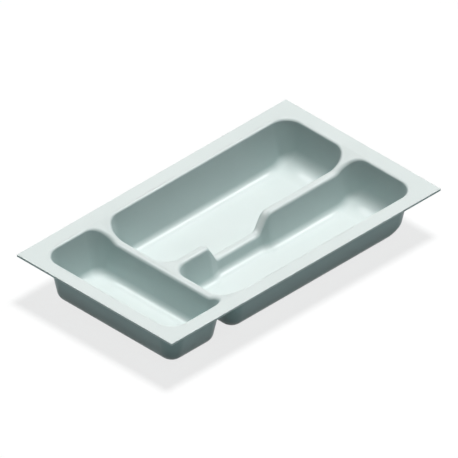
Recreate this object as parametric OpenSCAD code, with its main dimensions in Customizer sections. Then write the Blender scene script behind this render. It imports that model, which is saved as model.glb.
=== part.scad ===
// Cutlery tray insert: one formed sheet with a flat flange and three tapered pockets.
// Lengths are millimetres and angles are degrees.
// The origin is at the middle of the underside, +X runs along the tray away from
// the crosswise pocket, +Y points to the back edge and +Z points up.

/* [Tray] */
// Length of the flange
tray_length = 450; // [430:1:520]
// Width of the flange
tray_width = 259; // [250:1:300]
// Depth of the pockets, from the top of the flange to their floors
pocket_depth = 59.3; // [54:0.1:70]
// Thickness of the sheet
sheet_thickness = 3; // [1.2:0.1:3.2]
// Slope of the pocket walls from the vertical
draft_angle = 11.5; // [7:0.5:14]

/* [Flange] */
// Flat width of the flange at the left end
flange_left = 17.5; // [10:0.5:30]
// Flat width of the flange at the right end
flange_right = 18.6; // [10:0.1:30]
// Flat width of the flange along the back
flange_back = 19.3; // [10:0.1:30]
// Flat width of the flange along the front
flange_front = 17.5; // [10:0.5:30]
// Radius of the rim that rolls from the flange into a pocket
rim_radius = 3.5; // [3.5:0.1:5]

/* [Pockets] */
// Corner radius of a pocket where its walls would cut the flange's top plane
corner_radius = 24.5; // [22:0.5:28]
// Radius between the walls and the floor
floor_radius = 11.8; // [6:0.1:13]
// Radius between the right end wall and the floor of the two long pockets
end_radius = 30; // [24:0.5:36]

/* [Dividers] */
// Distance from the left edge to the middle of the crosswise divider
cross_divider = 117.8; // [105:0.1:150]
// Distance from the back edge to the middle of the lengthwise divider
long_divider = 131.2; // [115:0.1:145]
// Distance of the divider crests below the top of the flange
divider_drop = 13.3; // [6:0.1:18]
// Gap between the walls on both sides of a divider, taken at the flange's top plane
divider_gap = 5; // [4.5:0.1:9]
// Width of the level strip along a divider crest
crest_flat = 0.6; // [0.4:0.1:1.5]
// Length over which the ramp at a divider's end bends to the level of the crest
ramp_bend = 6; // [2:0.5:10]
// Largest radius of the rims beside a ramp
ramp_radius = 5.5; // [5:0.1:6]

/* [Finger scoop] */
// Distance from the left edge to the middle of the scoop in the lengthwise divider
scoop_middle = 233.6; // [225:0.1:260]
// Length of the scoop's level bottom, between the corners of its outline
scoop_width = 71; // [45:0.5:90]
// Depth of the scoop below the divider crest
scoop_depth = 23.8; // [16:0.1:27]
// Slope of the scoop's two flanks
scoop_slope = 60; // [45:1:65]
// Radius of the bends at the left flank
scoop_radius_left = 7; // [5:0.5:9]
// Radius of the bends at the right flank
scoop_radius_right = 11; // [6:0.5:12]

/* [Hidden] */

// Steps in the curves of the mesh
corner_steps = 8;
floor_steps = 5;
rim_steps = 5;
bend_steps = 5;
ramp_steps = 3;
end_steps = 2;
// Points in one wall profile, before the point on the pocket's border
profile_points = floor_steps + rim_steps + 2;
column_size = profile_points + 1;

tray_height = pocket_depth + sheet_thickness;
edge_x = tray_length / 2;
edge_y = tray_width / 2;
divider_x = cross_divider - edge_x;
divider_y = edge_y - long_divider;
scoop_x = scoop_middle - edge_x;

taper = tan(draft_angle);
// Turn between a wall and a level surface
level_turn = 90 - draft_angle;
// Distance from the axis of a pocket's corner to the start of the flat flange
rim_reach = corner_radius + rim_radius * tan(level_turn / 2);
// Distance from that axis to the middle plane of a divider, and to the edge of its level strip
crest_reach = corner_radius + divider_gap / 2;
crest_limit = crest_reach - crest_flat / 2;
// Radius that rounds a divider's crest from both sides
crest_radius = (crest_limit - corner_radius + divider_drop * taper) / tan(level_turn / 2);

// The ramps that join the ends of the dividers to the flange fall evenly up to the start
// of their bend; distances are from the flange
bend_start = rim_reach + crest_radius / 2;
bend_end = bend_start + ramp_bend;
ramp_slope = divider_drop / (bend_start + ramp_bend / 2);
// Angle round a corner at which a ramp's full slope and rim radius are reached
ease_angle = 60;

// The sides of a pocket, in the order right, back, left, front.
// Each side is [line of the corner axes, border of the pocket's share of the tray, true at a divider].
right_x = edge_x - flange_right - rim_reach;
back_y = edge_y - flange_back - rim_reach;
left_x = flange_left + rim_reach - edge_x;
front_y = flange_front + rim_reach - edge_y;
end_pocket = [
    [divider_x - crest_reach, divider_x, true],
    [back_y, edge_y, false],
    [left_x, -edge_x, false],
    [front_y, -edge_y, false]
];
back_pocket = [
    [right_x, edge_x, false],
    [back_y, edge_y, false],
    [divider_x + crest_reach, divider_x, true],
    [divider_y + crest_reach, divider_y, true]
];
front_pocket = [
    [right_x, edge_x, false],
    [divider_y - crest_reach, divider_y, true],
    [divider_x + crest_reach, divider_x, true],
    [front_y, -edge_y, false]
];
POCKETS = ["end", "back", "front"];
function sides(name) = name == "end" ? end_pocket : name == "back" ? back_pocket : front_pocket;
function is_long(name) = name != "end";

// Small helpers
UP = [0, 0, 1];
function outward(heading) = [cos(heading), sin(heading), 0];
function unit(v) = v / norm(v);
function mix(a, b, t) = a + (b - a) * t;
function ease(t) = let (u = min(max(t, 0), 1)) u * u * (3 - 2 * u);
function reversed(list) = [for (i = [len(list) - 1 : -1 : 0]) list[i]];
// Rounds a point, so that neighbouring pockets share their border points exactly
function snapped(p) = [for (v = p) round(v * 10000) / 10000];
// Direction between two directions
function turned_between(a, b, t) =
    let (angle = acos(min(1, a * b)))
    angle < 0.1 ? b : (sin((1 - t) * angle) * a + sin(t * angle) * b) / sin(angle);

// The floor ball rolls in the angle between floor and wall. Its place is
// [distance from the corner axis, height, lean], and it leans only over the end radius.
function floor_ball(height, lean) =
    [corner_radius - floor_radius / cos(draft_angle) + height * taper, height, lean];
function level_ball() = floor_ball(floor_radius - pocket_depth, 0);

// The large radius at the right end: its height, its start from the corner axes along X,
// and the distance from its centre to the ball's
end_height = end_radius - pocket_depth;
end_start = corner_radius + end_height * taper - end_radius / cos(draft_angle);
end_swing = end_radius - floor_radius;
function end_ball(x) =
    let (lean = asin(max(0, (x - end_start) / end_swing)))
    floor_ball(end_height - end_swing * cos(lean), lean);
function end_corner_ball(toward_end) =
    let (
        a = toward_end * floor_ball(end_height, 0)[0] - end_start,
        b = toward_end * taper,
        fall = (-a * b - sqrt(max(0, pow(end_swing, 2) * (1 + b * b) - a * a))) / (1 + b * b)
    )
    floor_ball(end_height + fall, atan2(a + b * fall, -fall));

// The rim ball hangs in the angle between wall and deck, which is the flange, a ramp or a
// crest. Returns [centre, distance of the centre from the corner axis].
function rim_ball(base, heading, deck_point, deck_normal, radius, shift = 0) =
    let (
        out = outward(heading),
        start = corner_radius + shift + radius / cos(draft_angle),
        gap = deck_normal * (deck_point - base - start * out) - radius,
        height = gap / (deck_normal[2] + taper * (deck_normal * out)),
        reach = start + height * taper
    )
    [base + reach * out + height * UP, reach];

// A station is one wall profile, from the floor up and over the rim:
// [corner axis, heading, floor ball, rim centre, rim radius, deck normal, border, true at a divider]

// The points of one station, from the floor to the border. The inset is 0 for the upper
// face of the sheet and sheet_thickness for its lower face.
function column(s, inset) =
    let (
        out = outward(s[1]),
        floor_centre = s[0] + s[2][0] * out + s[2][1] * UP,
        floor_touch = [sin(s[2][2]), 0, -cos(s[2][2])],
        wall_touch = cos(draft_angle) * out - sin(draft_angle) * UP
    )
    concat(
        [for (i = [0 : floor_steps])
            let (touch = turned_between(floor_touch, wall_touch, i / floor_steps))
            snapped(floor_centre + (floor_radius + inset) * touch)
        ],
        [for (i = [0 : rim_steps])
            let (touch = turned_between(-wall_touch, s[5], i / rim_steps))
            snapped(s[3] + max(s[4] - inset, 0.3) * touch)
        ],
        [snapped(s[6] - inset * UP)]
    );

// Which side gives a corner its x and its y; corner q lies between side q and the next
function x_side(q) = q == 0 || q == 3 ? 0 : 2;
function y_side(q) = q < 2 ? 1 : 3;
function toward_flange(x, y) = x[2] ? [0, sign(y[1] - y[0]), 0] : [sign(x[1] - x[0]), 0, 0];

// Height and slope of a divider's middle at a distance from the flange
function ramp_level(run) =
    let (past = min(max(run - bend_start, 0), ramp_bend))
    [-ramp_slope * (min(run, bend_end) - past * past / (2 * ramp_bend)), ramp_slope * (1 - past / ramp_bend)];

// Rim centre, rim radius, deck normal and border of a corner whose two sides are alike.
// share runs from 0 at its x side to 1 at its y side.
function plain_rim(base, heading, x, y, share) =
    let (
        level = x[2] ? -divider_drop : 0,
        radius = x[2] ? crest_radius : rim_radius,
        border = share <= 0.5
            ? [x[1], mix(y[0], y[1], share * 2), level]
            : [mix(x[1], x[0], share * 2 - 1), y[1], level]
    )
    [rim_ball(base, heading, level * UP, UP, radius)[0], radius, UP, border];

// The same for a corner at a ramp, which hinges on the flange's inner line.
// bent is 0 at the flange and 90 at the divider.
function ramp_rim(base, heading, x, y, bent) =
    let (
        away = toward_flange(x, y),
        slope = ramp_slope * min(1, sin(bent) / sin(ease_angle)),
        normal = unit(UP - slope * away),
        hinge = base + rim_reach * away,
        bare = rim_ball(base, heading, hinge, normal, 0)[1],
        full = rim_ball(base, heading, hinge, normal, rim_radius)[1],
        room = bent == 0 ? ramp_radius : rim_radius * (crest_limit / sin(bent) - bare) / (full - bare),
        radius = min(mix(rim_radius, ramp_radius, ease(bent / ease_angle)), room),
        centre = rim_ball(base, heading, hinge, normal, radius)[0],
        along = (centre + radius * normal - base) * away,
        level = ramp_level(rim_reach - along)[0]
    )
    [
        centre, radius, normal,
        bent == 0 ? (x[2] ? [x[0], y[1], 0] : [x[1], y[0], 0])
            : (x[2] ? [x[1], y[0], level] : [x[0], y[1], level]) + along * away
    ];

// Stations round a corner
function corner(name, q) =
    let (
        x = sides(name)[x_side(q)],
        y = sides(name)[y_side(q)],
        base = [x[0], y[0], 0]
    )
    [for (i = [0 : corner_steps])
        let (
            heading = 90 * (q + i / corner_steps),
            share = q % 2 == 0 ? i / corner_steps : 1 - i / corner_steps,
            bent = 90 * (x[2] ? 1 - share : share),
            rim = x[2] == y[2] ? plain_rim(base, heading, x, y, share) : ramp_rim(base, heading, x, y, bent),
            ball = is_long(name) && x_side(q) == 0 ? end_corner_ball(abs(cos(heading))) : level_ball()
        )
        concat([base, heading, ball], rim, [x[2] == y[2] ? x[2] : bent > 0])
    ];

// A station on a straight side, at a place along it
function on_side(side, along, across) = side % 2 == 0 ? [across, along, 0] : [along, across, 0];
function side_station(name, side, along, sunk, ball) =
    let (
        line = sides(name)[side],
        heading = 90 * side,
        level = line[2] ? sunk - divider_drop : 0,
        radius = line[2] ? crest_radius : rim_radius,
        shift = -sunk * taper,
        base = on_side(side, along, line[0])
    )
    [
        base, heading, [ball[0] + shift, ball[1], ball[2]],
        rim_ball(base, heading, level * UP, UP, radius, shift)[0], radius, UP,
        on_side(side, along, line[1]) + level * UP, line[2]
    ];

// Stations from a ramp's corner to where its divider is level
function ramp_tilt(i) = atan(ramp_level(bend_start + ramp_bend * i / ramp_steps)[1]);
function ramp_foot_radius(i) =
    let (level = ramp_level(bend_start + ramp_bend * i / ramp_steps)[0])
    (crest_limit - corner_radius - level * taper) / (1 / cos(draft_angle) - taper * cos(ramp_tilt(i)));
function ramp_place(i) =
    rim_reach - bend_start - ramp_bend * i / ramp_steps + ramp_foot_radius(i) * sin(ramp_tilt(i));
function ramp_foot(name, side, q) =
    let (
        x = sides(name)[x_side(q)],
        y = sides(name)[y_side(q)],
        base = [x[0], y[0], 0],
        away = toward_flange(x, y),
        middle = x[2] ? [x[1], y[0], 0] : [x[0], y[1], 0]
    )
    [for (i = [0 : ramp_steps])
        let (
            run = bend_start + ramp_bend * i / ramp_steps,
            level = ramp_level(run)[0],
            radius = ramp_foot_radius(i),
            tilt = ramp_tilt(i),
            here = base + ramp_place(i) * away,
            ball = is_long(name) && x_side(q) == 0 ? end_ball(ramp_place(i)) : level_ball()
        )
        [
            here, 90 * side, ball,
            here + crest_limit * outward(90 * side) + (level - radius * cos(tilt)) * UP,
            radius, unit(UP - tan(tilt) * away), middle + (rim_reach - run) * away + level * UP, true
        ]
    ];

// Stations over the large end radius, on the back or front side of a long pocket, from the
// right corner inwards
end_places = [for (i = [1 : end_steps]) mix(ramp_place(ramp_steps), end_start, i / end_steps)];
ramp_places = [for (i = [0 : ramp_steps]) ramp_place(i)];
function over_end(name, side, places) =
    [for (p = places) side_station(name, side, right_x + p, 0, end_ball(p))];
function end_side(name, side) =
    concat(
        sides(name)[side][2]
            ? ramp_foot(name, side, side == 1 ? 0 : 3)
            : over_end(name, side, ramp_places),
        over_end(name, side, end_places));
strip_count = corner_steps + ramp_steps + end_steps + 1;

// Outline of the scoop along the lengthwise divider, from left to right: [x, sinking]
function scoop_bend(top_x, foot_x, radius, side, inset) =
    let (
        tangent = radius * tan(scoop_slope / 2),
        outer = max(radius - inset, 0.5),
        inner = radius + inset
    )
    concat(
        [for (i = [0 : bend_steps])
            let (a = scoop_slope * i / bend_steps)
            [top_x - side * (tangent - outer * sin(a)), outer * cos(a) - radius + inset]
        ],
        [for (i = [0 : bend_steps])
            let (a = scoop_slope * (1 - i / bend_steps))
            [foot_x + side * (tangent - inner * sin(a)), radius - scoop_depth - inner * cos(a) + inset]
        ]
    );
function scoop_outline(inset) =
    let (
        foot = scoop_width / 2,
        top = foot + scoop_depth / tan(scoop_slope),
        left = scoop_bend(scoop_x - top, scoop_x - foot, scoop_radius_left, 1, inset),
        right = scoop_bend(scoop_x + top, scoop_x + foot, scoop_radius_right, -1, inset)
    )
    concat(left, reversed(right));
function scoop_side(name, side, inset) =
    [for (p = scoop_outline(inset)) side_station(name, side, p[0], p[1], level_ball())];

// Where the corners of the two long pockets meet the crosswise divider
function junction_side() =
    [for (i = [-corner_steps / 2 : corner_steps / 2])
        side_station("end", 0, divider_y + crest_reach * 2 * i / corner_steps, 0, level_ball())
    ];

// All stations of a pocket, counter-clockwise from the corner between right and back
function stations(name, inset) =
    name == "end"
        ? concat(
            corner(name, 0), corner(name, 1), corner(name, 2), corner(name, 3),
            ramp_foot(name, 0, 3), junction_side(), reversed(ramp_foot(name, 0, 0)))
    : name == "back"
        ? concat(
            corner(name, 0), end_side(name, 1), corner(name, 1), ramp_foot(name, 2, 1), corner(name, 2),
            scoop_side(name, 3, inset), reversed(end_side(name, 3)), corner(name, 3))
        : concat(
            corner(name, 0), end_side(name, 1), reversed(scoop_side(name, 1, inset)), corner(name, 1),
            reversed(ramp_foot(name, 2, 2)), corner(name, 2), reversed(end_side(name, 3)), corner(name, 3));

// Points of one face of one pocket: the columns, the middle of the floor, and for each
// ramp the two points where its middle meets the flat of the flange and the tray's edge
function floor_middle(name, inset) =
    let (
        lines = sides(name),
        last = lines[0][0] + (is_long(name) ? end_start : 0)
    )
    [(last + lines[2][0]) / 2, (lines[1][0] + lines[3][0]) / 2, -pocket_depth - inset];
function ramp_points(name, q, inset) =
    let (
        x = sides(name)[x_side(q)],
        y = sides(name)[y_side(q)],
        middle = x[2] ? [x[1], y[0], -inset] : [x[0], y[1], -inset]
    )
    [middle + rim_reach * toward_flange(x, y), [x[1], y[1], -inset]];
// The corners of each pocket that hold a ramp
function ramp_corners(name) = name == "end" ? [0, 3] : name == "back" ? [1, 3] : [0, 2];
function face_points(name, inset) =
    concat(
        [for (s = stations(name, inset)) each column(s, inset)],
        [snapped(floor_middle(name, inset))],
        [for (q = ramp_corners(name)) each [for (p = ramp_points(name, q, inset)) snapped(p)]]
    );

// Triangles of a pocket's upper face; its lower face takes the same ones turned over
function quad(a, b, c, d) = [[a, b, c], [a, c, d]];
function turned(triangles) = [for (t = triangles) [t[2], t[1], t[0]]];
function shifted(triangles, by) = [for (t = triangles) [for (v = t) v + by]];
function point_count(name) = len(stations(name, 0)) * column_size + 5;
// Index of the ramp point beside a station: the tray's edge point comes right after it
function ramp_index(name, list, i) =
    len(list) * column_size + (list[i][1] <= 90 * (ramp_corners(name)[0] + 1) ? 1 : 3);
// The end wall's own stations, where the floor ball has shrunk to a point
function is_pole(name, s) = is_long(name) && abs(sin(s[1])) < 0.001 && cos(s[1]) > 0;

function face_triangles(name) =
    let (
        list = stations(name, 0),
        count = len(list),
        middle = count * column_size,
        cuts = is_long(name) ? strip_count : 0
    )
    concat(
        // Walls, floor radii and rims
        [for (i = [0 : count - 1], k = [0 : profile_points - 2])
            let (
                j = (i + 1) % count,
                a = i * column_size + k,
                b = j * column_size + k,
                low = k < floor_steps
            )
            each [
                if (!(low && is_pole(name, list[j]))) [a, b, b + 1],
                if (!(low && is_pole(name, list[i]))) [a, b + 1, a + 1]
            ]
        ],
        // Flange, ramps and crests
        [for (i = [0 : count - 1])
            let (
                j = (i + 1) % count,
                a = (i + 1) * column_size - 2,
                b = (j + 1) * column_size - 2,
                ramp = ramp_index(name, list, i)
            )
            each list[i][7] == list[j][7]
                ? quad(a, b, b + 1, a + 1)
                : list[j][7]
                    ? concat(quad(a, b, b + 1, ramp), quad(a, ramp, ramp + 1, a + 1))
                    : concat(quad(a, b, ramp, a + 1), quad(b, b + 1, ramp + 1, ramp))
        ],
        // Radius at the right end of a long pocket
        cuts == 0 ? [] : [for (i = [0 : cuts - 1])
            let (a = i * column_size, b = (count - 1 - i) * column_size)
            each quad(a + column_size, a, b, b - column_size)
        ],
        // Floor
        [for (i = [cuts : count - 1 - cuts])
            let (j = i == count - 1 - cuts ? cuts : i + 1)
            [middle, j * column_size, i * column_size]
        ]
    );

// Triangles of the flange's cut edge, from the upper face down to the lower one
function edge_triangles(name, lower) =
    let (
        list = stations(name, 0),
        count = len(list)
    )
    [for (i = [0 : count - 1])
        let (
            j = (i + 1) % count,
            here = (i + 1) * column_size - 1,
            next = (j + 1) * column_size - 1,
            a = list[i][7] ? ramp_index(name, list, i) + 1 : here,
            b = list[j][7] ? ramp_index(name, list, i) + 1 : next
        )
        if (!list[i][7] || !list[j][7]) each quad(a, b, b + lower, a + lower)
    ];

module tray_insert() {
    upper = [for (name = POCKETS) each face_points(name, 0)];
    lower = [for (name = POCKETS) each face_points(name, sheet_thickness)];
    starts = [0, point_count("end"), point_count("end") + point_count("back")];
    triangles = [for (i = [0 : len(POCKETS) - 1])
        each concat(
            shifted(face_triangles(POCKETS[i]), starts[i]),
            shifted(turned(face_triangles(POCKETS[i])), starts[i] + len(upper)),
            shifted(edge_triangles(POCKETS[i], len(upper)), starts[i]))
    ];
    color([0.87, 0.91, 0.9])
        translate([0, 0, tray_height])
            polyhedron(points = concat(upper, lower), faces = triangles);
}

tray_insert();
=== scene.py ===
# %% [markdown]
# # A formed tray insert for cutlery
#
# The real object is one plastic sheet. It is warmed and drawn over a mould, so that three
# pockets sink below a flat flange, which fills a drawer from side to side. Nothing is joined or
# screwed. Everything that the eye follows comes from the mould: sloped walls, rounded floors,
# rims that roll over from the flange, and dividers whose ends slope up to the flange.
#
# The first cell loads the imported construction model as the fixed frame. Blender only gives it
# its looks, so its box is kept here and compared with the mould's sizes in the next cell.

# %% Load the frame
import math

import bmesh
import bpy
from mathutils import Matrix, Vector


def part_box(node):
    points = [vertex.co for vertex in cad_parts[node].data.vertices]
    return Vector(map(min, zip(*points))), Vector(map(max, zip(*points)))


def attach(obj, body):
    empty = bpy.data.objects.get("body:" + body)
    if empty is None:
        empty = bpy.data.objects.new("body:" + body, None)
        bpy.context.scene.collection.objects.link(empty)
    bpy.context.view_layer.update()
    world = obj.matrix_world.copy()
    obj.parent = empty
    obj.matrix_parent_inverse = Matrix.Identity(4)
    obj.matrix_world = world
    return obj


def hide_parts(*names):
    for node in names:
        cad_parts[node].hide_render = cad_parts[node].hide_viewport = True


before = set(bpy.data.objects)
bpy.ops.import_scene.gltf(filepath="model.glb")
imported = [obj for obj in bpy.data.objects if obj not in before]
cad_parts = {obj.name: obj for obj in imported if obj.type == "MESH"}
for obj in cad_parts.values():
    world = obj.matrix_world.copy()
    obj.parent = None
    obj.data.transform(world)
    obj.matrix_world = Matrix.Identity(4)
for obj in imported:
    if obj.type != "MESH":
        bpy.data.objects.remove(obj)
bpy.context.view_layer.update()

low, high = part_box("tray_insert")
print("tray:", [round((b - a) * 1000, 1) for a, b in zip(low, high)], "mm")

# %% [markdown]
# ## The sizes of the mould
#
# The sizes are millimetres, the same ones that the construction source has, and MM turns them
# into Blender's metres. The box of the frame is used as a check: if a size here and the frame
# disagree, the script stops.

# %% Sizes of the mould
TRAY_LENGTH, TRAY_WIDTH, POCKET_DEPTH, SHEET = 450.0, 259.0, 59.3, 3.0
DRAFT = math.radians(11.5)
FLANGE = {"left": 17.5, "right": 18.6, "back": 19.3, "front": 17.5}
RIM_RADIUS, CORNER_RADIUS, FLOOR_RADIUS, END_RADIUS = 3.5, 24.5, 11.8, 30.0
CROSS_DIVIDER, LONG_DIVIDER = 117.8, 131.2
DIVIDER_DROP, DIVIDER_GAP, CREST_FLAT = 13.3, 5.0, 0.6
RAMP_RIM_RADIUS, RAMP_BEND = 5.5, 6.0
SCOOP_MIDDLE, SCOOP_WIDTH, SCOOP_DEPTH, SCOOP_SLOPE = 233.6, 71.0, 23.8, math.radians(60)
SCOOP_RADII = (7.0, 11.0)

MM, SAME_SIZE = 0.001, 0.05

half_length, half_width = TRAY_LENGTH / 2, TRAY_WIDTH / 2
tray_height = POCKET_DEPTH + SHEET
for wanted, found in zip((TRAY_LENGTH, TRAY_WIDTH, tray_height), high - low):
    assert abs(wanted - found / MM) < SAME_SIZE, "a size differs from the frame"
print("sizes agree with the frame")

# %% [markdown]
# ## Stations round a pocket
#
# A pocket is a rule, not a drawing: at every place round it, one ball rolls in the angle
# between floor and wall, and a second ball rolls under the rim, between wall and deck, where
# the deck is the flange, a ramp or the crest of a divider. A *station* holds where those two
# balls are and in which directions they touch.
#
# This could be modelled by hand with loops and bevels, but the rims change as they run down
# the ramps, and a bevel can't follow that. So the stations are worked out here, and Geometry
# Nodes lay the skin over them in a later step.

# %% Slopes and reaches
wall_slope, wall_lean = math.tan(DRAFT), math.cos(DRAFT)
level_turn = math.pi / 2 - DRAFT
rim_reach = CORNER_RADIUS + RIM_RADIUS * math.tan(level_turn / 2)
crest_reach = CORNER_RADIUS + DIVIDER_GAP / 2
crest_limit = crest_reach - CREST_FLAT / 2
crest_rise = crest_limit - CORNER_RADIUS + DIVIDER_DROP * wall_slope
crest_radius = crest_rise / math.tan(level_turn / 2)
UP = Vector((0, 0, 1))


def outward(heading):
    """The level direction of a heading, which is an angle seen from above."""
    return Vector((math.cos(heading), math.sin(heading), 0))


def ease(share):
    """Between 0 and 1, with a soft start and a soft end."""
    share = min(max(share, 0.0), 1.0)
    return share * share * (3 - 2 * share)


print(f"rims start {rim_reach:.2f} mm from the corner axes")
print(f"crests have {crest_radius:.2f} mm radius")

# %% [markdown]
# The floor ball is the same all round, except at the right end of the two long pockets.
# There the floor turns up in a much larger radius, and the small ball rolls up inside it
# until it vanishes against the end wall.

# %% The floor ball: its centre's reach and height, and its lean
end_height = END_RADIUS - POCKET_DEPTH
end_start = CORNER_RADIUS + end_height * wall_slope - END_RADIUS / wall_lean
end_swing = END_RADIUS - FLOOR_RADIUS


def floor_ball(height=FLOOR_RADIUS - POCKET_DEPTH, lean=0.0):
    reach = CORNER_RADIUS - FLOOR_RADIUS / wall_lean + height * wall_slope
    return reach, height, lean


def floor_ball_at_end(toward_end):
    """Where the large end radius crosses a corner. toward_end is 1 at the end wall."""
    a = toward_end * floor_ball(end_height)[0] - end_start
    b = toward_end * wall_slope
    fall = (-a * b - math.sqrt(max(0.0, end_swing**2 * (1 + b * b) - a * a))) / (1 + b * b)
    return floor_ball(end_height + fall, math.atan2(a + b * fall, -fall))


print(f"the end radius leaves the floor {-end_start:.1f} mm before the corner axes")

# %% [markdown]
# The rim ball hangs under the deck. The deck is a plane, given by a point on it and its
# normal, and the wall is a slope, so the ball's height follows from one division.

# %% The rim ball
FLOOR_BORDER, LEVEL_LEAN = 1.5, 1e-6


def rim_ball(base, heading, deck_point, deck_normal, radius, shift=0.0):
    """Centre of a ball that touches the wall and the underside of the deck, and its reach."""
    out = outward(heading)
    start = CORNER_RADIUS + shift + radius / wall_lean
    gap = deck_normal.dot(deck_point - base - out * start) - radius
    height = gap / (deck_normal.z + wall_slope * deck_normal.dot(out))
    reach = start + height * wall_slope
    return base + out * reach + UP * height, reach


def station(base, heading, ball, rim, rim_radius, deck_normal, border, inward=None):
    """Everything that the skin needs to know at one place round a pocket."""
    reach, height, lean = ball
    out = outward(heading)
    centre = base + out * reach + UP * height
    touch = Vector((math.sin(lean), 0, -math.cos(lean)))
    if inward is None:
        inward = -out * FLOOR_BORDER
    return {
        "floor_centre": centre,
        "floor_touch": touch,
        "wall_touch": out * wall_lean - UP * math.sin(DRAFT),
        "rim_centre": rim,
        "rim_radius": rim_radius,
        "deck_touch": deck_normal,
        "border": border,
        "inner": centre + touch * FLOOR_RADIUS + inward,
        "on_floor": abs(lean) < LEVEL_LEAN,
    }


level_ball = rim_ball(Vector(), 0.0, Vector(), UP, RIM_RADIUS)
print(f"the flange's rim ball hangs {-level_ball[0].z:.1f} mm under the flange")

# %% [markdown]
# A pocket's four sides are listed as right, back, left, front. Each has the line on which its
# corner axes stand, the border of the pocket's share of the tray, and whether that border is
# a divider or the flange's edge. Corner n lies between side n and the next one.

# %% The three pockets
right_x = half_length - FLANGE["right"] - rim_reach
back_y = half_width - FLANGE["back"] - rim_reach
left_x = FLANGE["left"] + rim_reach - half_length
front_y = FLANGE["front"] + rim_reach - half_width
divider_x, divider_y = CROSS_DIVIDER - half_length, half_width - LONG_DIVIDER
right_side, back_side = (right_x, half_length, False), (back_y, half_width, False)
left_side, front_side = (left_x, -half_length, False), (front_y, -half_width, False)
at_cross = (divider_x + crest_reach, divider_x, True)
POCKETS = {
    "end": [(divider_x - crest_reach, divider_x, True), back_side, left_side, front_side],
    "back": [right_side, back_side, at_cross, (divider_y + crest_reach, divider_y, True)],
    "front": [right_side, (divider_y - crest_reach, divider_y, True), at_cross, front_side],
}


def corner_sides(name, corner):
    """The side that gives a corner its x and the side that gives its y."""
    sides = POCKETS[name]
    return sides[0 if corner in (0, 3) else 2], sides[1 if corner < 2 else 3]


print("pockets:", ", ".join(POCKETS))

# %% [markdown]
# ## Corners
#
# Where both sides of a corner are alike, its rim is one even roll. Where the flange meets a
# divider, the deck is a ramp that hinges on the flange's inner line: round the corner its
# slope and the rim's radius grow, until the rims of both pockets meet over the divider.

# %% Plain corners
def plain_rim(base, heading, x, y, from_x):
    """Rim ball, radius, deck normal and border of a corner whose two sides are alike."""
    level, radius = (-DIVIDER_DROP, crest_radius) if x[2] else (0.0, RIM_RADIUS)
    if from_x <= 0.5:
        border = Vector((x[1], y[0] + (y[1] - y[0]) * from_x * 2, level))
    else:
        border = Vector((x[1] + (x[0] - x[1]) * (from_x * 2 - 1), y[1], level))
    return rim_ball(base, heading, UP * level, UP, radius)[0], radius, UP, border


print(f"rim radius {RIM_RADIUS} mm at the flange and {crest_radius:.1f} mm at a divider")


# %% Ramps
EASE_ANGLE = math.radians(60)
bend_start = rim_reach + crest_radius / 2
bend_end = bend_start + RAMP_BEND
ramp_slope = DIVIDER_DROP / (bend_start + RAMP_BEND / 2)


def ramp_level(run):
    """Height and slope of a divider's middle line at a distance from the flange."""
    past = min(max(run - bend_start, 0.0), RAMP_BEND)
    level = -ramp_slope * (min(run, bend_end) - past**2 / (2 * RAMP_BEND))
    return level, ramp_slope * (1 - past / RAMP_BEND)


def ramp_rim(base, heading, x, y, bent, to_flange):
    """The same for a corner at a ramp. bent is 0 at the flange and a right angle at the divider."""
    slope = ramp_slope * min(1.0, math.sin(bent) / math.sin(EASE_ANGLE))
    normal = (UP - to_flange * slope).normalized()
    hinge = base + to_flange * rim_reach
    radius = RIM_RADIUS + (RAMP_RIM_RADIUS - RIM_RADIUS) * ease(bent / EASE_ANGLE)
    if bent > 0:
        bare, full = (rim_ball(base, heading, hinge, normal, r)[1] for r in (0.0, 1.0))
        radius = min(radius, (crest_limit / math.sin(bent) - bare) / (full - bare))
    centre, _ = rim_ball(base, heading, hinge, normal, radius)
    run = rim_reach - (centre + normal * radius - base).dot(to_flange)
    border = Vector((x[1], y[0], 0)) if x[2] else Vector((x[0], y[1], 0))
    return centre, radius, normal, border + to_flange * (rim_reach - run) + UP * ramp_level(run)[0]


print(f"the ramps fall 1 in {1 / ramp_slope:.1f} over {bend_end:.0f} mm")

# %% [markdown]
# A corner turns a right angle in small steps. At a ramp, the flange runs on past the corner,
# so the first or last station comes twice there: once with its border on the hinge line and
# once with its border out in the flange's own corner.

# %% A corner's stations
CORNER_STEPS, BORDER_GROWTH = 24, 3


def toward_flange(x, y):
    """The direction in which a ramp climbs."""
    if x[2]:
        return Vector((0, math.copysign(1, y[1] - y[0]), 0))
    return Vector((math.copysign(1, x[1] - x[0]), 0, 0))


def corner(name, number):
    """The stations of one corner, in the order of their headings."""
    x, y = corner_sides(name, number)
    base, found = Vector((x[0], y[0], 0)), []
    at_end = name != "end" and number in (0, 3)
    for step in range(CORNER_STEPS + 1):
        share = step / CORNER_STEPS
        heading = math.pi / 2 * (number + share)
        from_x = share if number % 2 == 0 else 1 - share
        if x[2] == y[2]:
            rim = plain_rim(base, heading, x, y, from_x)
        else:
            bent = math.pi / 2 * (1 - from_x if x[2] else from_x)
            rim = ramp_rim(base, heading, x, y, bent, toward_flange(x, y))
        ball, inward = floor_ball(), None
        if at_end:
            ball = floor_ball_at_end(abs(math.cos(heading)))
            side = 1 if number == 0 else -1
            grown = min(1.0, BORDER_GROWTH * abs(math.sin(heading)))
            inward = Vector((0, -side * FLOOR_BORDER * grown, 0))
        found.append(station(base, heading, ball, *rim, inward))
    if x[2] != y[2] or at_end:
        # The corner across a long pocket has a second station too, to match the one at the ramp.
        comes_first = number == 0 if at_end else x[2] == (number % 2 == 1)
        second = dict(found[0 if comes_first else -1])
        if x[2] != y[2]:
            second["border"] = Vector((x[1], y[1], 0))
        found.insert(0 if comes_first else len(found), second)
    return found


print("stations in a corner:", len(corner("end", 1)))

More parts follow.
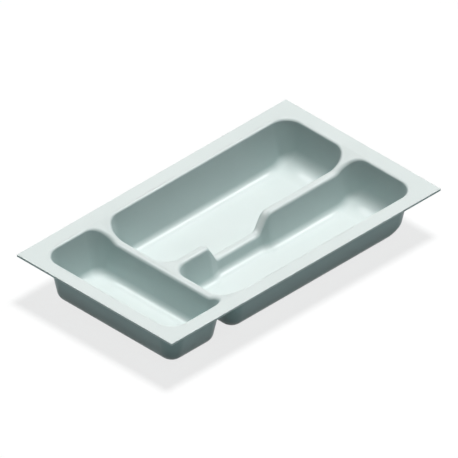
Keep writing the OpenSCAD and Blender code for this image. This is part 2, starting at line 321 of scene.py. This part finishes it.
# %% [markdown]
# ## Straight sides
#
# A straight side needs stations only where something changes along it: down the last of a
# ramp, through the finger scoop, over the large end radius, and where two dividers meet.

# %% Stations on a straight side
def on_side(side, along, across):
    """A point beside a side, from its place along it and its distance across."""
    return Vector((across, along, 0)) if side % 2 == 0 else Vector((along, across, 0))


def side_station(name, side, along, sunk=0.0, lean_x=None):
    """sunk lowers the crest in the scoop; lean_x is the place over the end radius."""
    line, edge, is_divider = POCKETS[name][side]
    heading, shift = math.pi / 2 * side, -sunk * wall_slope
    level, radius = (sunk - DIVIDER_DROP, crest_radius) if is_divider else (0.0, RIM_RADIUS)
    base = on_side(side, along, line)
    rim = rim_ball(base, heading, UP * level, UP, radius, shift)[0]
    reach, height, lean = floor_ball() if lean_x is None else end_ball(lean_x)
    border = on_side(side, along, edge) + UP * level
    return station(base, heading, (reach + shift, height, lean), rim, radius, UP, border)


def end_ball(x):
    """The floor ball over the end radius, at a distance along X from the corner axes."""
    lean = math.asin(max(0.0, (x - end_start) / end_swing))
    return floor_ball(end_height - end_swing * math.cos(lean), lean)


print("floor ball at the end radius:", [round(v, 1) for v in end_ball(0.0)[:2]])

# %% [markdown]
# At the foot of a ramp the crest bends into the level. A bend that is only one edge would show
# as a crease in the gloss, so it is a short arc of a few stations. Over the end radius the
# stations stand at the same places on both sides of a pocket, so straight strips can join them.

# %% The foot of a ramp
RAMP_STEPS, END_STEPS = 5, 4


def ramp_foot(name, side, number):
    """Stations from a ramp's corner to where its divider is level."""
    x, y = corner_sides(name, number)
    base, to_flange = Vector((x[0], y[0], 0)), toward_flange(x, y)
    heading = math.pi / 2 * side
    middle = Vector((x[1], y[0], 0)) if x[2] else Vector((x[0], y[1], 0))
    at_end = name != "end" and number in (0, 3)
    found = []
    for step in range(RAMP_STEPS + 1):
        run = bend_start + RAMP_BEND * step / RAMP_STEPS
        level, slope = ramp_level(run)
        tilt = math.atan(slope)
        room = crest_limit - CORNER_RADIUS - level * wall_slope
        radius = room / (1 / wall_lean - wall_slope * math.cos(tilt))
        along = rim_reach - run + radius * math.sin(tilt)
        height = level - radius * math.cos(tilt)
        rim = base + to_flange * along + outward(heading) * crest_limit + UP * height
        normal = (UP - to_flange * slope).normalized()
        ball = end_ball(along) if at_end else floor_ball()
        border = middle + to_flange * (rim_reach - run) + UP * level
        place = base + to_flange * along
        found.append(station(place, heading, ball, rim, radius, normal, border))
    return found


ramp_places = [s["rim_centre"].x - right_x for s in ramp_foot("front", 1, 0)]
last_place = ramp_places[-1]
left_over = end_start - last_place
past_ramp = [last_place + left_over * (i + 1) / END_STEPS for i in range(END_STEPS)]
print("places over the end radius:", [round(v, 1) for v in ramp_places + past_ramp])


# %% Over the end radius
def end_side(name, side):
    """Stations on the back or front side of a long pocket, from the right corner inwards."""
    is_divider = POCKETS[name][side][2]
    if is_divider:
        start = ramp_foot(name, side, 0 if side == 1 else 3)
    else:
        start = [side_station(name, side, right_x + v, lean_x=v) for v in ramp_places]
    return start + [side_station(name, side, right_x + v, lean_x=v) for v in past_ramp]


END_ROWS = CORNER_STEPS + 2 + len(ramp_places) + len(past_ramp)
print("rows of the strips over the end radius:", END_ROWS)

# %% [markdown]
# The finger scoop is one outline along the lengthwise divider: level, round the shoulder,
# down a flank, round the foot, and the same up again. The divider's crest keeps its form
# and sinks along that outline, so the divider grows no thicker in the scoop.

# %% The finger scoop
BEND_STEPS = 8


def scoop_outline():
    """Places along the divider, from left to right, and how deep its crest is sunk there."""
    foot, middle = SCOOP_WIDTH / 2, SCOOP_MIDDLE - half_length
    top = foot + SCOOP_DEPTH / math.tan(SCOOP_SLOPE)
    halves = []
    for side, radius in zip((1, -1), SCOOP_RADII):
        tangent = radius * math.tan(SCOOP_SLOPE / 2)
        turns = [SCOOP_SLOPE * i / BEND_STEPS for i in range(BEND_STEPS + 1)]
        half = []
        for a in turns:
            away = top + tangent - radius * math.sin(a)
            half.append((middle - side * away, radius * (math.cos(a) - 1)))
        for a in reversed(turns):
            away = foot - tangent + radius * math.sin(a)
            half.append((middle - side * away, radius * (1 - math.cos(a)) - SCOOP_DEPTH))
        halves.append(half)
    return halves[0] + halves[1][::-1]


def scoop_side(name, side):
    return [side_station(name, side, x, sunk=z) for x, z in scoop_outline()]


print("scoop:", len(scoop_outline()), "stations from left to right")

# %% [markdown]
# The lengthwise divider ends on the cross divider. The end pocket's side gets a station for
# each one in the two corners opposite, so that both skins have the same border points and
# close without a seam. Then each pocket's stations are strung into one ring.

# %% Where the dividers meet
def junction_side():
    """Stations of the end pocket that face the corners of the two long pockets."""
    steps = CORNER_STEPS // 2
    places = [divider_y + crest_reach * i / steps for i in range(-steps, steps + 1)]
    return [side_station("end", 0, y) for y in places]


end_ring = corner("end", 0) + corner("end", 1) + corner("end", 2) + corner("end", 3)
end_ring += ramp_foot("end", 0, 3) + junction_side() + ramp_foot("end", 0, 0)[::-1]

back_ring = corner("back", 0) + end_side("back", 1)
back_ring += corner("back", 1) + ramp_foot("back", 2, 1)
back_ring += corner("back", 2) + scoop_side("back", 3) + end_side("back", 3)[::-1]
back_ring += corner("back", 3)

front_ring = corner("front", 0) + end_side("front", 1) + scoop_side("front", 1)[::-1]
front_ring += corner("front", 1) + ramp_foot("front", 2, 2)[::-1]
front_ring += corner("front", 2) + end_side("front", 3)[::-1]
front_ring += corner("front", 3)

rings = {"end": end_ring, "back": back_ring, "front": front_ring}
print({name: len(ring) for name, ring in rings.items()})

# %% [markdown]
# ## The skin
#
# A rail is a mesh without faces: one point for each station, which carries that station's
# numbers as attributes. The Geometry Nodes tree makes a grid with a column for each station
# and a row for each point of the wall's profile, looks the numbers up on the rail, and moves
# every point of the grid to its place. The same tree fills the level floor and lays straight
# strips over the large end radius. Its sizes are named inputs, so a thinner or rounder
# tray needs no new code.

# %% A rail for each pocket
PLACES = ("floor_centre", "rim_centre", "border", "inner")
VECTORS = PLACES + ("floor_touch", "wall_touch", "deck_touch")
SINGLES = {"rim_radius": "FLOAT", "on_floor": "BOOLEAN"}


def make_rail(name):
    """An object whose mesh holds a pocket's stations, in metres."""
    ring = rings[name]
    mesh = bpy.data.meshes.new(name + "_rail")
    count = len(ring)
    points = [s["floor_centre"] * MM for s in ring]
    mesh.from_pydata(points, [(i, (i + 1) % count) for i in range(count)], [])
    kinds = {key: "FLOAT_VECTOR" for key in VECTORS} | SINGLES
    for key, kind in kinds.items():
        mesh.attributes.new(key, kind, "POINT")
    for i, s in enumerate(ring):
        for key in VECTORS:
            mesh.attributes[key].data[i].vector = s[key] * (MM if key in PLACES else 1)
        mesh.attributes["rim_radius"].data[i].value = s["rim_radius"] * MM
        mesh.attributes["on_floor"].data[i].value = s["on_floor"]
    rail = bpy.data.objects.new(name + "_rail", mesh)
    bpy.context.scene.collection.objects.link(rail)
    return rail


print("attributes on a rail:", len(VECTORS) + len(SINGLES))

# %% [markdown]
# Nodes are usually placed and wired by hand. In a script, that hides the formula behind dozens
# of links. This small helper takes a node's inputs as values or as other nodes' outputs, so
# each line reads as one step of the calculation.

# %% Small helpers for a node tree
class Tree:
    """Writes nodes by their inputs, so that a formula reads from left to right."""

    def __init__(self, name, inputs):
        self.group = bpy.data.node_groups.new(name, "GeometryNodeTree")
        face = self.group.interface
        self.identifiers = {}
        for label, kind in inputs:
            item = face.new_socket(label, in_out="INPUT", socket_type=kind)
            self.identifiers[label] = item.identifier
        face.new_socket("Geometry", in_out="OUTPUT", socket_type="NodeSocketGeometry")
        self.start = self.group.nodes.new("NodeGroupInput")

    def value(self, label):
        return self.start.outputs[label]

    def add(self, kind, inputs=None, out=0, **settings):
        node = self.group.nodes.new(kind)
        for key, setting in settings.items():
            setattr(node, key, setting)
        for key, given in (inputs or {}).items():
            socket = node.inputs[key]
            if isinstance(given, bpy.types.NodeSocket):
                self.group.links.new(given, socket)
            else:
                socket.default_value = given
        return node.outputs[out]

    def math(self, operation, a, b=0.0, c=0.0, clamp=False):
        return self.add("ShaderNodeMath", {0: a, 1: b, 2: c}, operation=operation, use_clamp=clamp)

    def vector(self, operation, a, b=(0, 0, 0), scale=1.0):
        return self.add("ShaderNodeVectorMath", {0: a, 1: b, 3: scale}, operation=operation)

    def blend(self, share, a, b):
        """From a to b, both vectors, by a share from 0 to 1."""
        step = self.vector("SCALE", self.vector("SUBTRACT", b, a), scale=share)
        return self.vector("ADD", a, step)


print("helper ready:", Tree.__name__)

# %% [markdown]
# The grid starts flat, and only its point numbers matter: dividing a point's number by the
# rows gives its column, which is the station, and what is left over is its row. Half a step is
# added before the division, so that rounding can't put a point in the wrong column. One more
# column than stations closes the ring.

# %% The tree, part 1: which station and which row
tree = Tree(
    "pocket skin",
    [
        ("Rail", "NodeSocketGeometry"),
        ("Floor radius", "NodeSocketFloat"),
        ("Floor steps", "NodeSocketInt"),
        ("Rim steps", "NodeSocketInt"),
        ("End rows", "NodeSocketInt"),
        ("Finish", "NodeSocketMaterial"),
    ],
)
rail_in = tree.value("Rail")
floor_steps, rim_steps = tree.value("Floor steps"), tree.value("Rim steps")
stations = tree.add("GeometryNodeAttributeDomainSize", {"Geometry": rail_in}, component="MESH")
WALL_ROWS, BALLS, SINGLE_ROWS = 3, 2, 4
# Each ball has one row more than it has steps. The single rows are the inner floor, close to
# the rim, close to the border, and the border.
ball_steps = tree.math("ADD", floor_steps, rim_steps)
rows = tree.math("ADD", ball_steps, WALL_ROWS + BALLS + SINGLE_ROWS)
columns = tree.math("ADD", stations, 1)
grid = tree.add("GeometryNodeMeshGrid", {"Vertices X": columns, "Vertices Y": rows})
index = tree.add("GeometryNodeInputIndex")
column = tree.math("FLOOR", tree.math("DIVIDE", tree.math("ADD", index, 0.5), rows))
row = tree.math("SUBTRACT", index, tree.math("MULTIPLY", column, rows))
here = tree.math("FLOORED_MODULO", column, stations)


def look_up(key, place, kind="FLOAT_VECTOR"):
    """The rail's number or vector at a station."""
    named = tree.add("GeometryNodeInputNamedAttribute", {"Name": key}, data_type=kind)
    given = {"Geometry": rail_in, "Value": named, "Index": place}
    return tree.add("GeometryNodeSampleIndex", given, data_type=kind)


print("part 1:", len(tree.group.nodes), "nodes")

# %% [markdown]
# Each row rolls on one of the two balls or lies between them. A ball's first and last touch
# are known, and the rows between turn evenly from one to the other. The wall needs no ball: a
# straight line from the last point below to the first point above is already flat. Two rows
# stand close to where a flat part starts and ends, which keeps smooth shading out of it.

# %% The tree, part 2: the two balls, the wall and the deck
WALL_SPREAD, NEAR_RIM, NEAR_BORDER, ROW_MATCH = 1.86, 0.06, 0.965, 0.1


def row_share(first, count):
    """0 up to the first row, 1 from first + count on."""
    return tree.math("DIVIDE", tree.math("SUBTRACT", row, first), count, clamp=True)


def turned(from_touch, to_touch, share):
    """The direction in which a ball touches the sheet, which is also the sheet's own normal."""
    return tree.vector("NORMALIZE", tree.blend(share, from_touch, to_touch))


def on_ball(centre, radius, touch):
    return tree.vector("ADD", centre, tree.vector("SCALE", touch, scale=radius))


wall_start = tree.math("ADD", floor_steps, 1)
rim_start = tree.math("ADD", wall_start, WALL_ROWS + 1)
rim_end = tree.math("ADD", rim_start, rim_steps)
wall_touch = look_up("wall_touch", here)
low_touch = turned(look_up("floor_touch", here), wall_touch, row_share(1, floor_steps))
low_point = on_ball(look_up("floor_centre", here), tree.value("Floor radius"), low_touch)
wall_back = tree.vector("SCALE", wall_touch, scale=-1.0)
high_touch = turned(wall_back, look_up("deck_touch", here), row_share(rim_start, rim_steps))
high_point = on_ball(look_up("rim_centre", here), look_up("rim_radius", here, "FLOAT"), high_touch)
# The outer wall rows lie close to the radii
off_middle = tree.math("SUBTRACT", row_share(wall_start, WALL_ROWS + 1), 0.5)
spread = tree.math("MULTIPLY_ADD", off_middle, WALL_SPREAD, 0.5, clamp=True)
skin_point = tree.blend(spread, low_point, high_point)
# Past the rim come three rows: close to it, close to the border, and on the border
at_border = 0.0
for past_rim, share in ((1, NEAR_RIM), (2, NEAR_BORDER), (3, 1.0)):
    on_row = tree.math("COMPARE", row, tree.math("ADD", rim_end, past_rim), ROW_MATCH)
    at_border = tree.math("MULTIPLY_ADD", on_row, share, at_border)
skin_point = tree.blend(at_border, skin_point, look_up("border", here))
at_inner = tree.math("LESS_THAN", row, 0.5)
skin_point = tree.blend(at_inner, skin_point, look_up("inner", here))
walls = tree.add("GeometryNodeSetPosition", {"Geometry": grid, "Position": skin_point})
print("part 2:", len(tree.group.nodes), "nodes")

# %% [markdown]
# A formed sheet is thinnest where it stands upright, and the plastic paints steep sheet darker as
# shade, so the plastic wants to know how steep it is. The mesh's normals could say that, but their
# small errors would show as stripes in the colour. The balls' touch directions are exact, so the
# slope is taken from them and stored.

# %% The tree, part 3: how far the sheet is stretched and how much painted shade it gets
def levelness(touch):
    """1 where the sheet lies flat, 0 where it would stand upright."""
    return tree.math("ABSOLUTE", tree.add("ShaderNodeSeparateXYZ", {0: touch}, "Z"))


def with_stretch_and_wall_shade(geometry, level):
    """Stores 0 on level sheet and 1 on the walls: painted wall shade, roughness and grain."""
    steepness = tree.math("SUBTRACT", 1.0, level)
    stretch_and_wall_shade = tree.math("DIVIDE", steepness, 1 - math.sin(DRAFT), clamp=True)
    given = {"Geometry": geometry, "Name": "stretch_and_wall_shade", "Value": stretch_and_wall_shade}
    return tree.add("GeometryNodeStoreNamedAttribute", given, data_type="FLOAT", domain="POINT")


low_level, high_level = levelness(low_touch), levelness(high_touch)
level = tree.math("MULTIPLY_ADD", tree.math("SUBTRACT", high_level, low_level), spread, low_level)
walls = with_stretch_and_wall_shade(walls, level)
print("part 3:", len(tree.group.nodes), "nodes")

# %% [markdown]
# The level floor is one large face: the rail's points that lie on the floor, made a closed
# curve and filled. The large end radius curves in one direction only, so straight strips from
# the back side's stations to the matching ones on the front side make it exactly.

# %% The tree, part 4: the level floor and the strips over the end radius
on_floor = tree.add("GeometryNodeInputNamedAttribute", {"Name": "on_floor"}, data_type="BOOLEAN")
off_floor = tree.add("FunctionNodeBooleanMath", {0: on_floor}, operation="NOT")
given = {"Geometry": rail_in, "Selection": off_floor}
floor_rail = tree.add("GeometryNodeDeleteGeometry", given, domain="POINT")
inner = tree.add("GeometryNodeInputNamedAttribute", {"Name": "inner"}, data_type="FLOAT_VECTOR")
outline = tree.add("GeometryNodeMeshToCurve", {"Mesh": floor_rail})
outline = tree.add("GeometryNodeSetSplineCyclic", {"Geometry": outline, "Cyclic": True})
outline = tree.add("GeometryNodeSetPosition", {"Geometry": outline, "Position": inner})
floor_fill = tree.add("GeometryNodeFillCurve", {"Curve": outline}, mode="NGONS")
# Filling flattens a curve to height 0, so the floor is put back at its own height
given = {"Geometry": rail_in, "Attribute": inner}
lowest = tree.add("GeometryNodeAttributeStatistic", given, "Min", data_type="FLOAT_VECTOR")
floor_z = tree.add("ShaderNodeSeparateXYZ", {0: lowest}, "Z")
lift = tree.add("ShaderNodeCombineXYZ", {"Z": floor_z})
floor_fill = tree.add("GeometryNodeSetPosition", {"Geometry": floor_fill, "Offset": lift})

end_rows = tree.value("End rows")
strip = tree.add("GeometryNodeMeshGrid", {"Vertices X": end_rows, "Vertices Y": 2})
pair = tree.math("FLOOR", tree.math("DIVIDE", tree.math("ADD", index, 0.5), 2.0))
far_side = tree.math("SUBTRACT", index, tree.math("MULTIPLY", pair, 2.0))
mirrored = tree.math("SUBTRACT", tree.math("SUBTRACT", stations, 1), pair)
at_near_side = tree.math("MULTIPLY", pair, tree.math("SUBTRACT", 1.0, far_side))
strip_station = tree.math("ADD", at_near_side, tree.math("MULTIPLY", mirrored, far_side))
given = {"Geometry": strip, "Position": look_up("inner", strip_station)}
strip = tree.add("GeometryNodeSetPosition", given)
strip = with_stretch_and_wall_shade(strip, levelness(look_up("floor_touch", strip_station)))
print("part 4:", len(tree.group.nodes), "nodes")

# %% [markdown]
# Joining leaves double points where the parts meet, and Merge by Distance closes those seams.
# Realize Instances and Set Material come last, because an export reads plain mesh only.

# %% The tree, part 5: join, merge and finish
MERGE_DISTANCE = 0.003 * MM
join = tree.group.nodes.new("GeometryNodeJoinGeometry")
for part in (strip, floor_fill, walls):
    tree.group.links.new(part, join.inputs[0])
given = {"Geometry": join.outputs[0], "Distance": MERGE_DISTANCE}
merged = tree.add("GeometryNodeMergeByDistance", given)
smooth = tree.add("GeometryNodeSetShadeSmooth", {"Geometry": merged, "Shade Smooth": True})
real = tree.add("GeometryNodeRealizeInstances", {"Geometry": smooth})
painted = tree.add("GeometryNodeSetMaterial", {"Geometry": real, "Material": tree.value("Finish")})
result = tree.group.nodes.new("NodeGroupOutput")
tree.group.links.new(painted, result.inputs[0])
print("nodes in the tree:", len(tree.group.nodes))

# %% [markdown]
# ## The plastic
#
# Tray plastic is a pale, cool grey with a hint of green and a fine satin grain. The flange and
# the floors keep most of the sheet's thickness, while the walls are drawn down and grow a
# little thinner, so their grain is pulled flat. The walls' colour is also painted a shade deeper
# and cooler, as painted shade on the steep sheet. The skin carries both as the attribute
# *stretch_and_wall_shade*, which is 0 on level sheet and 1 on the walls.
#
# Everything else is noise on Object coordinates, so it stays on the tray from any side. An
# image could hold the grain too, but it would need a flat layout of the tray's surface.

# %% Small helpers for a material
class Finish:
    """A material whose nodes are written by their inputs."""

    def __init__(self, name):
        self.material = bpy.data.materials.new(name)
        self.material.use_nodes = True
        self.nodes, self.links = self.material.node_tree.nodes, self.material.node_tree.links
        self.shader = self.nodes["Principled BSDF"]

    def add(self, kind, inputs=None, out=0, **settings):
        node = self.nodes.new(kind)
        for key, setting in settings.items():
            setattr(node, key, setting)
        for key, given in (inputs or {}).items():
            self.put(node.inputs[key], given)
        return node.outputs[out]

    def put(self, socket, given):
        if isinstance(given, bpy.types.NodeSocket):
            self.links.new(given, socket)
        else:
            socket.default_value = given

    def noise(self, place, scale, detail, roughness=0.5):
        given = {"Vector": place, "Scale": scale, "Detail": detail, "Roughness": roughness}
        return self.add("ShaderNodeTexNoise", given, "Fac")

    def spread(self, value, from_low, from_high, to_low, to_high):
        given = {0: value, 1: from_low, 2: from_high, 3: to_low, 4: to_high}
        return self.add("ShaderNodeMapRange", given)

    def mix(self, share, a, b):
        given = {"Factor": share, "A": a, "B": b}
        return self.add("ShaderNodeMix", given, "Result", data_type="RGBA")

    def math(self, operation, a, b):
        return self.add("ShaderNodeMath", {0: a, 1: b}, operation=operation)

    def bump(self, height, strength, distance, normal=None):
        given = {"Height": height, "Strength": strength, "Distance": distance}
        if normal:
            given["Normal"] = normal
        return self.add("ShaderNodeBump", given)


print("helper ready:", Finish.__name__)

# %% Tray plastic
FLAT_TONES = ((0.706, 0.772, 0.757, 1), (0.732, 0.795, 0.780, 1))
# The wall tones are darker than the level sheet's tones: painted shade on the steep walls.
WALL_SHADE_TONES = ((0.500, 0.612, 0.605, 1), (0.522, 0.633, 0.626, 1))
CLOUD_SCALE, PATCH_SCALE, WAVE_SCALE, GRAIN_SCALE = 9, 35, 16, 1100
CLOUD_RANGE, PATCH_RANGE = (0.35, 0.65), (0.3, 0.7)
ROUGHNESS, SMOOTHER_WALLS = (0.36, 0.44), -0.05
WAVE_HEIGHT, GRAIN_HEIGHT, GRAIN_ON_WALLS = 0.4 * MM, 0.18 * MM, 0.4


def make_tray_plastic():
    plastic = Finish("plastic_with_wall_shade")
    shader = plastic.shader
    shader.inputs["IOR"].default_value = 1.49
    shader.inputs["Specular IOR Level"].default_value = 0.36
    place = plastic.add("ShaderNodeTexCoord", out="Object")
    stretch_and_wall_shade = plastic.add("ShaderNodeAttribute", out="Fac", attribute_name="stretch_and_wall_shade")

    clouds = plastic.spread(plastic.noise(place, CLOUD_SCALE, 3), *CLOUD_RANGE, 0, 1)
    flat_tone, wall_shade_tone = plastic.mix(clouds, *FLAT_TONES), plastic.mix(clouds, *WALL_SHADE_TONES)
    # Steep sheet gets the darker tones, as painted shade.
    plastic.put(shader.inputs["Base Color"], plastic.mix(stretch_and_wall_shade, flat_tone, wall_shade_tone))

    patches = plastic.noise(place, PATCH_SCALE, 4, 0.6)
    uneven = plastic.spread(patches, *PATCH_RANGE, *ROUGHNESS)
    pulled = plastic.spread(stretch_and_wall_shade, 0, 1, 0, SMOOTHER_WALLS)
    plastic.put(shader.inputs["Roughness"], plastic.math("ADD", uneven, pulled))

    waves = plastic.bump(plastic.noise(place, WAVE_SCALE, 1, 0.4), 0.5, WAVE_HEIGHT)
    grain = plastic.noise(place, GRAIN_SCALE, 2)
    grain = plastic.math("MULTIPLY", grain, plastic.spread(stretch_and_wall_shade, 0, 1, 1, GRAIN_ON_WALLS))
    plastic.put(shader.inputs["Normal"], plastic.bump(grain, 0.6, GRAIN_HEIGHT, waves))
    return plastic.material


tray_plastic = make_tray_plastic()
print("material:", tray_plastic.name, len(tray_plastic.node_tree.nodes), "nodes")

# %% [markdown]
# ## From skin to sheet
#
# The three skins share their border points, so merging makes one open skin. A Solidify
# modifier gives it the thickness of the sheet on its underside. The real walls are a little
# thinner than the flange, but no view shows them cut through, so one thickness does for all.

# %% Lay the skins
FLOOR_STEPS, RIM_STEPS = 14, 12


def mesh_with_modifiers(piece):
    """The shape that an object's modifiers give, as a plain mesh."""
    bpy.context.view_layer.update()
    graph = bpy.context.evaluated_depsgraph_get()
    return bpy.data.meshes.new_from_object(piece.evaluated_get(graph))


def lay_skin(name):
    rail = make_rail(name)
    skin = rail.modifiers.new("skin", "NODES")
    skin.node_group = tree.group
    for label, given in (
        ("Floor radius", FLOOR_RADIUS * MM),
        ("Floor steps", FLOOR_STEPS),
        ("Rim steps", RIM_STEPS),
        ("End rows", 0 if name == "end" else END_ROWS),
        ("Finish", tray_plastic),
    ):
        skin[tree.identifiers[label]] = given
    mesh = mesh_with_modifiers(rail)
    bpy.data.objects.remove(rail)
    print(name, "skin:", len(mesh.polygons), "faces")
    return mesh


SEAM_DISTANCE, TINY_EDGE = 0.004 * MM, 0.0005 * MM


def join_skins(meshes):
    """One mesh with its faces turned upwards."""
    work = bmesh.new()
    for mesh in meshes:
        work.from_mesh(mesh)
    bmesh.ops.remove_doubles(work, verts=work.verts, dist=SEAM_DISTANCE)
    bmesh.ops.dissolve_degenerate(work, edges=work.edges, dist=TINY_EDGE)
    bmesh.ops.recalc_face_normals(work, faces=work.faces)
    flange = max(work.faces, key=lambda f: f.calc_center_median().z + f.calc_area())
    if flange.normal.z < 0:
        bmesh.ops.reverse_faces(work, faces=work.faces)
    for vertex in work.verts:
        vertex.co.z += tray_height * MM
    open_edges = sum(len(e.link_faces) == 1 for e in work.edges)
    crowded = sum(len(e.link_faces) > 2 for e in work.edges)
    print("open edges of the skin:", open_edges, "crowded:", crowded)
    result = bpy.data.meshes.new("tray")
    result.materials.append(tray_plastic)
    work.to_mesh(result)
    work.free()
    return result


skin = join_skins([lay_skin(name) for name in rings])

# %% Give the skin its thickness
tray = bpy.data.objects.new("tray", skin)
bpy.context.scene.collection.objects.link(tray)
solidify = tray.modifiers.new("sheet", "SOLIDIFY")
solidify.thickness = SHEET * MM
solidify.offset = -1
solidify.use_even_offset = True
solidify.use_rim = True

sheet = mesh_with_modifiers(tray)
tray.modifiers.clear()
tray.data = sheet
print("sheet:", len(tray.data.polygons), "faces")

# %% [markdown]
# The flange is trimmed with a knife after forming, and its edge is then broken so that it
# doesn't cut. A Bevel modifier with an angle limit could do it, but it would also look for
# sharp edges in the narrow crests. Here only edges on the tray's outermost faces are taken.

# %% Soften the trimmed edge
EDGE_BEVEL, SHARP, TOUCHING = 0.4 * MM, math.radians(60), 0.001 * MM


def on_trimmed_face(vertex):
    past_x = abs(vertex.co.x) > half_length * MM - TOUCHING
    return past_x or abs(vertex.co.y) > half_width * MM - TOUCHING


def is_trimmed_edge(edge):
    if len(edge.link_faces) != 2 or edge.calc_face_angle() <= SHARP:
        return False
    return all(on_trimmed_face(v) for v in edge.verts)


def soften_trimmed_edge(mesh):
    work = bmesh.new()
    work.from_mesh(mesh)
    edges = [e for e in work.edges if is_trimmed_edge(e)]
    kind = {"segments": 2, "affect": "EDGES", "profile": 0.5, "clamp_overlap": True}
    bmesh.ops.bevel(work, geom=edges, offset=EDGE_BEVEL, **kind)
    work.to_mesh(mesh)
    work.free()
    return len(edges)


print("edges softened:", soften_trimmed_edge(tray.data))

# %% Clean up the tray and hand it to the frame
for face in tray.data.polygons:
    face.use_smooth = True
for key in list(tray.data.attributes.keys()):
    if key in VECTORS or key in SINGLES:
        tray.data.attributes.remove(tray.data.attributes[key])
triangles = sum(len(f.vertices) - 2 for f in tray.data.polygons)
print("tray:", len(tray.data.polygons), "faces,", triangles, "triangles")

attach(tray, "root")
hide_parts("tray_insert")

# %% [markdown]
# ## Floor and light
#
# The tray stands on a plain pale floor. What the camera and the glossy plastic see behind the
# tray is white, and the tray's soft shadow stays on it. For the light that the floor throws
# back it is a darker paper, or the tray's outer walls would be lit from below.

# %% Floor
SHADOW_SHARE, FLOOR_SIZE = 0.22, 6.0
SEEN_TONE, SCATTERED_TONE = (1, 1, 1, 1), (0.165, 0.255, 0.26, 1)


def seen_directly(finish):
    """1 for rays from the camera or from a glossy or clear surface, 0 for scattered light."""
    ray = finish.nodes.new("ShaderNodeLightPath").outputs
    seen = finish.math("MAXIMUM", ray["Is Camera Ray"], ray["Is Glossy Ray"])
    return finish.math("MAXIMUM", seen, ray["Is Transmission Ray"])


def make_floor():
    paper = Finish("floor_paper")
    seen = seen_directly(paper)
    paper.put(paper.shader.inputs["Base Color"], paper.mix(seen, SCATTERED_TONE, SEEN_TONE))
    paper.shader.inputs["Roughness"].default_value = 0.9
    glow = paper.add("ShaderNodeEmission")
    share = paper.math("MULTIPLY", seen, 1 - SHADOW_SHARE)
    both = paper.add("ShaderNodeMixShader", {0: share, 1: paper.shader.outputs[0], 2: glow})
    paper.put(paper.nodes["Material Output"].inputs["Surface"], both)
    mesh = bpy.data.meshes.new("floor")
    corners = [(x * FLOOR_SIZE, y * FLOOR_SIZE, 0) for x, y in ((-1, -1), (1, -1), (1, 1), (-1, 1))]
    mesh.from_pydata(corners, [], [(0, 1, 2, 3)])
    mesh.materials.append(paper.material)
    floor = bpy.data.objects.new("floor", mesh)
    bpy.context.scene.collection.objects.link(floor)
    print("floor:", FLOOR_SIZE * 2, "m wide")


make_floor()

# %% [markdown]
# The key light stands almost overhead. It leans as far as the walls do, so it looks right down
# into the pockets and no wall throws a dark shadow on a floor. It comes from the right, so the
# walls that face left stay the darkest, as in the picture.
#
# Colour and gloss are lit apart. The key light gives the colour and stays out of the gloss,
# or the flat floors would flare white from above. Two gleam lamps only reflect in the gloss
# and draw the bright lines along the fillets and crests. They stand well above the level
# flange, so it doesn't flare either when it is seen from a low place.

# %% Light
def add_sun(name, strength, softness, direction):
    lamp = bpy.data.lights.new(name, "SUN")
    lamp.energy, lamp.angle = strength, math.radians(softness)
    holder = bpy.data.objects.new(name, lamp)
    holder.rotation_euler = Vector(direction).to_track_quat("Z", "Y").to_euler()
    bpy.context.scene.collection.objects.link(holder)
    return holder


# Name, strength, softness in degrees, and the direction in which the lamp stands
KEY_LAMP = ("key_light", 3.1, 14, (0.20, 0.05, 1.0))
GLEAM_LAMPS = (
    ("front_gleam", 2.9, 8, (0.577, -0.371, 0.727)),
    ("back_gleam", 1.8, 8, (-0.239, 0.577, 0.781)),
)
add_sun(*KEY_LAMP).visible_glossy = False
for lamp in GLEAM_LAMPS:
    add_sun(*lamp).visible_diffuse = False

# %% [markdown]
# The world is white to the eye and in reflections, like the paper. As a lamp it is almost off:
# an even glow from all round would take the depth out of the pockets.

# %% World
WORLD_STRENGTH = 0.05


def make_world():
    world = bpy.data.worlds.new("studio")
    world.use_nodes = True
    bpy.context.scene.world = world
    nodes, links = world.node_tree.nodes, world.node_tree.links
    ray = nodes.new("ShaderNodeLightPath").outputs
    seen = nodes.new("ShaderNodeMath")
    seen.operation = "MAXIMUM"
    seen_through = nodes.new("ShaderNodeMath")
    seen_through.operation = "MAXIMUM"
    links.new(ray["Is Camera Ray"], seen.inputs[0])
    links.new(ray["Is Glossy Ray"], seen.inputs[1])
    links.new(seen.outputs[0], seen_through.inputs[0])
    links.new(ray["Is Transmission Ray"], seen_through.inputs[1])
    level = nodes.new("ShaderNodeMapRange")
    level.inputs["To Min"].default_value = WORLD_STRENGTH
    level.inputs["To Max"].default_value = 1.0
    links.new(seen_through.outputs[0], level.inputs["Value"])
    links.new(level.outputs[0], nodes["Background"].inputs["Strength"])
    nodes["Background"].inputs["Color"].default_value = SEEN_TONE
    print("world: strength 1 when seen,", WORLD_STRENGTH, "as light")


make_world()

# %% [markdown]
# The picture is a true isometric view without perspective, so the camera is orthographic.
# It looks from the left front, 45 degrees round and 35.26 degrees up.

# %% Camera
VIEW_WIDTH, VIEW_PIXELS, CAMERA_DISTANCE = 0.5413, 458, 2.0
pixel = VIEW_WIDTH / VIEW_PIXELS
BELOW_FLANGE, RIGHT_OF_FLANGE = 7.4 * pixel, 0.2 * pixel
camera = bpy.data.cameras.new("camera")
camera.type, camera.ortho_scale = "ORTHO", VIEW_WIDTH
eye = bpy.data.objects.new("camera", camera)
bpy.context.scene.collection.objects.link(eye)
bpy.context.scene.camera = eye
toward_eye = Vector((-1, -1, 1)).normalized()
turn = toward_eye.to_track_quat("Z", "Y")
across, upward = turn @ Vector((1, 0, 0)), turn @ Vector((0, 1, 0))
middle = Vector((0, 0, tray_height * MM)) - upward * BELOW_FLANGE + across * RIGHT_OF_FLANGE
eye.location = middle + toward_eye * CAMERA_DISTANCE
eye.rotation_euler = turn.to_euler()
bpy.context.scene.view_settings.view_transform = "Standard"
print("camera at", [round(v, 3) for v in eye.location])
